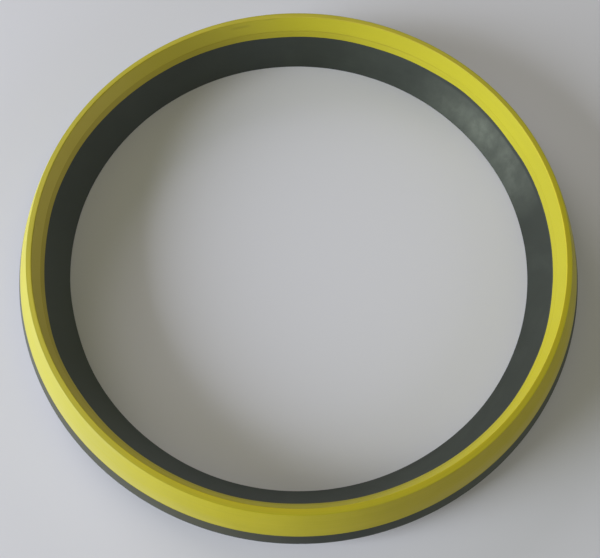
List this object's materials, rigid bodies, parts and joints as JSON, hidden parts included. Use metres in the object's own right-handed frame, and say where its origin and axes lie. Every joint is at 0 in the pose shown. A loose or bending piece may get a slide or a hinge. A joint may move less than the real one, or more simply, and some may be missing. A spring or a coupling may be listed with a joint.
{
  "type": "rubber gasket",
  "caption": "Push-fit pipe seal: a rubber sealing ring with an inward lip, moulded onto a hard yellow retaining ring. The pipe passes through its bore.",
  "frame": {"origin": "on the axis of the bore, level with the surface that the heel and the lip's edge rest on", "axes": "+Z along the pipe's axis, out of the side that the pipe enters first; X and Y are across the ring"},
  "size_m": [0.228, 0.228, 0.0247],
  "materials": {
    "hard_yellow_plastic": "moulded, low sheen, faint rings from turning the mould",
    "dark_rubber": "matt, with pale dusty scuffs on the inner cone"
  },
  "bodies": {
    "root": {"retaining_ring": "hard_yellow_plastic", "sealing_ring": "dark_rubber"}
  },
  "joints": []
}
